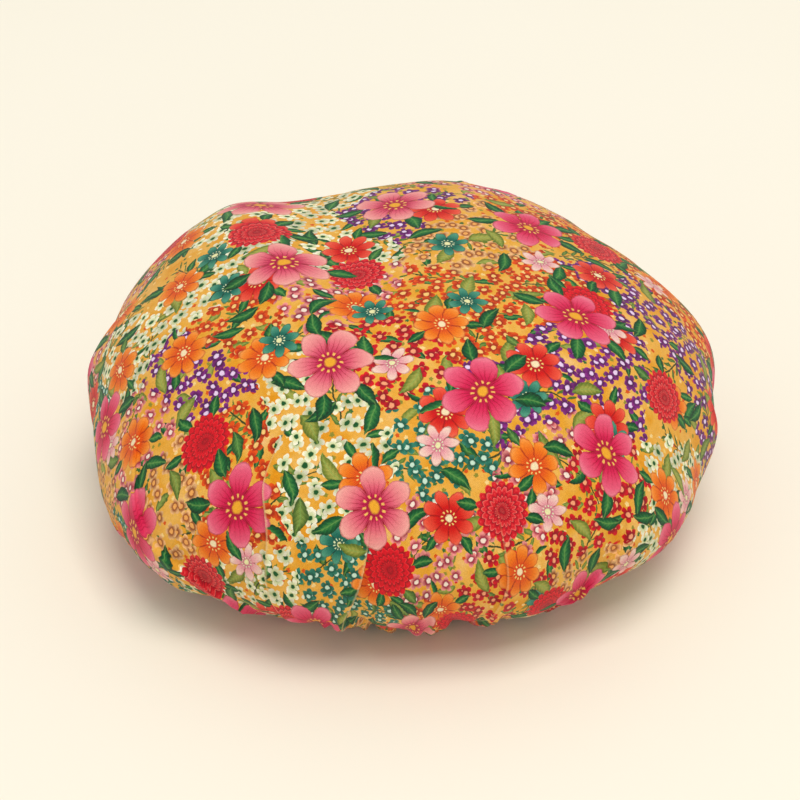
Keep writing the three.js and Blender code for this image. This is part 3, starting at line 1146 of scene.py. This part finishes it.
        # tiers of petals, each ring set between the petals of the next, tighter to the middle
        tiers = s.math("MULTIPLY", s.math("POWER", t, 0.8), 4.4)
        ph = s.math("MULTIPLY_ADD", s.math("FLOOR", tiers), 1.571, s.math("MULTIPLY", phi, 9.5))
        lap = s.math("ABSOLUTE", s.math("COSINE", ph))
        g = s.math("FRACT", s.math("MULTIPLY_ADD", lap, -0.5, s.math("ADD", tiers, 0.9)))
        body = s.ramp(g, [(0.0, srgb(140, 6, 26)), (0.35, srgb(206, 30, 44)), (0.85, srgb(238, 82, 84)), (1.0, srgb(246, 132, 120))])
        alt = s.mix(1.0, body, srgb(255, 168, 190), "MULTIPLY")
        body = s.mix(s.math("GREATER_THAN", k["b"], 0.62), body, alt)
        body = s.mix(s.range(t, 0.0, 0.5, 0.45, 0.0), body, srgb(120, 4, 22))
        return s.mix(m, col, body)

    col = pompon(col, 60.0, 40, (3.7, 8.8), 8, 14.2, 0.5, (6, 11.5, 6.2, 3.0, 0.5))

    # large pink flowers
    col = flower(
        col, 68.0, 12, (5.2, 0.7), 9, 20.0, 6, 0.44, 0.55, 0.76,
        [(0.0, srgb(130, 6, 40)), (0.22, srgb(190, 22, 66)), (0.45, srgb(224, 62, 98)), (0.8, srgb(236, 104, 132)), (1.0, srgb(244, 144, 160))],
        (srgb(244, 176, 70), srgb(250, 196, 110)), 0.95,
        [(0.0, srgb(132, 10, 44)), (0.25, srgb(196, 40, 84)), (0.5, srgb(232, 110, 128)), (0.85, srgb(246, 164, 160)), (1.0, srgb(250, 190, 176))],
        (7, 15.0, 8.2, 3.9, 0.5),
    )  # fmt: skip
    # painted highlight: paler lines along the sharp edges of the long folds, standing in for the light their rounded
    # edges catch
    at = s.vec("ABSOLUTE", s.attribute("fold_at"))
    on = s.split(s.attribute("fold_on"))
    painted_fold_highlight = None
    for d, w, how in zip(s.split(at), on, (0.40, 0.38, 0.25)):
        one = s.math("MULTIPLY", s.range(d, 0.1, 0.55, how, 0.0), w)
        painted_fold_highlight = one if painted_fold_highlight is None else s.math("MAXIMUM", painted_fold_highlight, one)
    col = s.mix(painted_fold_highlight, col, srgb(255, 226, 168))

    # worn, slightly chalky dye, and thread-to-thread variation
    grain = s.noise(raw, 1.1, 2.0, 0.65)
    col = s.mix(1.0, col, s.range(grain.outputs[0], 0.25, 0.75, 0.84, 1.08, False), "MULTIPLY")
    tone = s.node("ShaderNodeHueSaturation")
    tone.inputs["Saturation"].default_value = 1.05
    tone.inputs["Value"].default_value = 0.91
    s.put(tone.inputs["Color"], col)
    s.put(s.bsdf.inputs["Base Color"], tone.outputs[0])

    # plain weave, with soft slubs
    x, y, _ = s.split(raw)
    warp = s.math("SINE", s.math("MULTIPLY", x, TAU / 1.05))
    weft = s.math("SINE", s.math("MULTIPLY", y, TAU / 1.05))
    weave = s.math("MULTIPLY", warp, weft)
    slub = s.noise(raw, 0.35, 3.0, 0.55)
    high = s.math("MULTIPLY_ADD", slub.outputs[0], 2.0, s.math("MULTIPLY", weave, 0.5))
    s.put(s.bsdf.inputs["Normal"], s.bump(high, 0.3, 0.0004))
    s.put(s.bsdf.inputs["Roughness"], s.range(slub.outputs[0], 0.25, 0.75, 0.62, 0.76, False))
    s.bsdf.inputs["Specular IOR Level"].default_value = 0.24
    s.bsdf.inputs["Sheen Weight"].default_value = 0.08
    s.bsdf.inputs["Sheen Roughness"].default_value = 0.5
    return s.mat


def film():
    s = Shader("lining_film")
    p = s.attribute("cloth")
    n = s.noise(p, 0.045, 4.0, 0.6)
    col = s.ramp(n.outputs[0], [(0.3, srgb(232, 228, 216)), (0.7, srgb(246, 243, 234))])
    s.put(s.bsdf.inputs["Base Color"], col)
    crinkle = s.node("ShaderNodeTexVoronoi", voronoi_dimensions="2D", feature="DISTANCE_TO_EDGE")
    crinkle.inputs["Scale"].default_value = 1 / 13.0
    s.put(crinkle.inputs["Vector"], s.vec("MULTIPLY_ADD", s.noise(p, 0.08, 2.0).outputs["Color"], (9, 9, 0), p))
    fold = s.range(crinkle.outputs[0], 0.0, 0.25)
    high = s.math("MULTIPLY_ADD", s.noise(p, 0.22, 3.0, 0.6).outputs[0], 1.4, fold)
    s.put(s.bsdf.inputs["Normal"], s.bump(high, 0.35, 0.0008))
    s.put(s.bsdf.inputs["Roughness"], s.range(n.outputs[0], 0.3, 0.7, 0.30, 0.42, False))
    s.bsdf.inputs["Specular IOR Level"].default_value = 0.5
    return s.mat


def braid():
    s = Shader("elastic_braid")
    p = s.attribute("cloth")
    x, y, _ = s.split(p)
    rib = s.math("SINE", s.math("MULTIPLY", x, TAU / 0.9))
    row = s.math("SINE", s.math("MULTIPLY_ADD", y, TAU / 1.15, s.math("MULTIPLY", x, 0.6)))
    high = s.math("MULTIPLY", rib, row)
    n = s.noise(p, 0.8, 3.0, 0.6)
    # tone: the yarn's own random variation from the noise, plus painted shade that darkens the low places between the
    # ribs
    f = s.math("MULTIPLY_ADD", high, 0.18, n.outputs[0])
    col = s.ramp(f, [(0.25, srgb(206, 200, 186)), (0.75, srgb(244, 240, 230))])
    s.put(s.bsdf.inputs["Base Color"], col)
    s.put(s.bsdf.inputs["Normal"], s.bump(high, 0.5, 0.0003))
    s.put(s.bsdf.inputs["Roughness"], s.range(n.outputs[0], 0.3, 0.7, 0.8, 0.95, False))
    s.bsdf.inputs["Specular IOR Level"].default_value = 0.2
    return s.mat


def thread(name, dark, light):
    s = Shader(name)
    g = s.node("ShaderNodeNewGeometry")
    p = s.vec("SCALE", g.outputs["Position"], scale=1000.0)
    x, y, z = s.split(p)
    twist = s.math("SINE", s.math("MULTIPLY", s.math("ADD", s.math("ADD", x, y), s.math("MULTIPLY", z, 2.0)), TAU / 0.55))
    n = s.noise(p, 1.4, 2.0, 0.6)
    # tone: the thread's own random variation from the noise, plus painted shade that darkens the grooves of the twist
    f = s.math("MULTIPLY_ADD", twist, 0.15, n.outputs[0])
    s.put(s.bsdf.inputs["Base Color"], s.ramp(f, [(0.25, dark), (0.8, light)]))
    s.put(s.bsdf.inputs["Normal"], s.bump(twist, 0.5, 0.0001))
    s.put(s.bsdf.inputs["Roughness"], s.range(n.outputs[0], 0.3, 0.7, 0.42, 0.58, False))
    s.bsdf.inputs["Sheen Weight"].default_value = 0.1
    return s.mat


cloth_material = floral_cloth("printed_cloth")
film_material = film()
braid_material = braid()
needle_material = thread("needle_thread", srgb(190, 116, 24), srgb(240, 172, 66))
bobbin_material = thread("bobbin_thread", srgb(206, 200, 186), srgb(246, 243, 235))

for obj, mat in (
    (outer_shell, cloth_material),
    (lining, film_material),
    (hem_casing, cloth_material),
    (elastic_band, braid_material),
    (needle_thread, needle_material),
    (bobbin_thread, bobbin_material),
    (join_stitch, bobbin_material),
    (end_seam, bobbin_material),
):
    obj.data.materials.append(mat)

# ---------------------------------------------------------------------------
# which nodes each piece stands for; those plain pieces from model.glb are hidden
# ---------------------------------------------------------------------------

for obj, slot, nodes in (
    (outer_shell, "printed_cloth", ("outer_shell_left_front", "outer_shell_left_back", "outer_shell_right_front", "outer_shell_right_back")),
    (lining, "lining_film", ("lining_left", "lining_right")),
    (hem_casing, "hem_cloth", ("hem_casing_left", "hem_casing_right")),
    (elastic_band, "elastic", ("elastic_band_left", "elastic_band_right")),
    (needle_thread, "needle_thread", ("hem_needle_thread_left", "hem_needle_thread_right")),
    (bobbin_thread, "bobbin_thread", ("hem_bobbin_thread_left", "hem_bobbin_thread_right")),
    (join_stitch, "bobbin_thread", ("elastic_join_stitch",)),
    (end_seam, "bobbin_thread", ("casing_end_seam",)),
):
    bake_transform(obj)
    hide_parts(*nodes)

# ---------------------------------------------------------------------------
# floor, light, camera
# ---------------------------------------------------------------------------


def floor_material():
    s = Shader("floor")
    g = s.node("ShaderNodeNewGeometry")
    n = s.noise(g.outputs["Position"], 3.0, 2.0, 0.5)
    s.put(s.bsdf.inputs["Base Color"], s.ramp(n.outputs[0], [(0.3, (0.900, 0.845, 0.725, 1)), (0.7, (0.910, 0.856, 0.738, 1))]))
    s.bsdf.inputs["Roughness"].default_value = 0.85
    s.bsdf.inputs["Specular IOR Level"].default_value = 0.1
    return s.mat


bpy.ops.mesh.primitive_plane_add(size=12, location=(0, 0, -0.0002))
floor = bpy.context.object
floor.name = "floor"
floor.data.materials.append(floor_material())

world = bpy.data.worlds.new("studio")
bpy.context.scene.world = world
world.use_nodes = True
sky = world.node_tree.nodes["Background"]
sky.inputs["Strength"].default_value = 1.0
# pale walls all round, a cooler light from above
where = world.node_tree.nodes.new("ShaderNodeTexCoord")
height = world.node_tree.nodes.new("ShaderNodeSeparateXYZ")
shade = world.node_tree.nodes.new("ShaderNodeValToRGB")
stops = shade.color_ramp.elements
stops[0].position, stops[0].color = 0.02, (0.800, 0.762, 0.655, 1)
stops[1].position, stops[1].color = 0.45, (0.605, 0.624, 0.634, 1)
world.node_tree.links.new(where.outputs["Generated"], height.inputs[0])
world.node_tree.links.new(height.outputs[2], shade.inputs[0])
world.node_tree.links.new(shade.outputs[0], sky.inputs["Color"])


def area_light(name, place, aim, size, power, colour=(1, 1, 1)):
    data = bpy.data.lights.new(name, "AREA")
    data.shape = "SQUARE"
    data.size = size
    data.energy = power
    data.color = colour
    obj = bpy.data.objects.new(name, data)
    bpy.context.scene.collection.objects.link(obj)
    from mathutils import Vector

    obj.location = place
    obj.rotation_euler = (Vector(aim) - Vector(place)).to_track_quat("-Z", "Y").to_euler()
    return obj


area_light("overhead", (0.45, -1.25, 4.6), (0, 0.0, 0.05), 2.3, 130, (1.0, 0.965, 0.90))

camera_data = bpy.data.cameras.new("camera")
camera_data.lens = LENS
camera_data.sensor_width = 36.0
camera_data.clip_end = 50
camera = bpy.data.objects.new("camera", camera_data)
bpy.context.scene.collection.objects.link(camera)
camera.location = tuple(TARGET - CAM_AHEAD * DISTANCE)
camera.rotation_euler = (math.pi / 2 - ELEVATION, 0, 0)
bpy.context.scene.camera = camera

bpy.context.scene.view_settings.view_transform = "Standard"
bpy.context.scene.view_settings.look = "None"
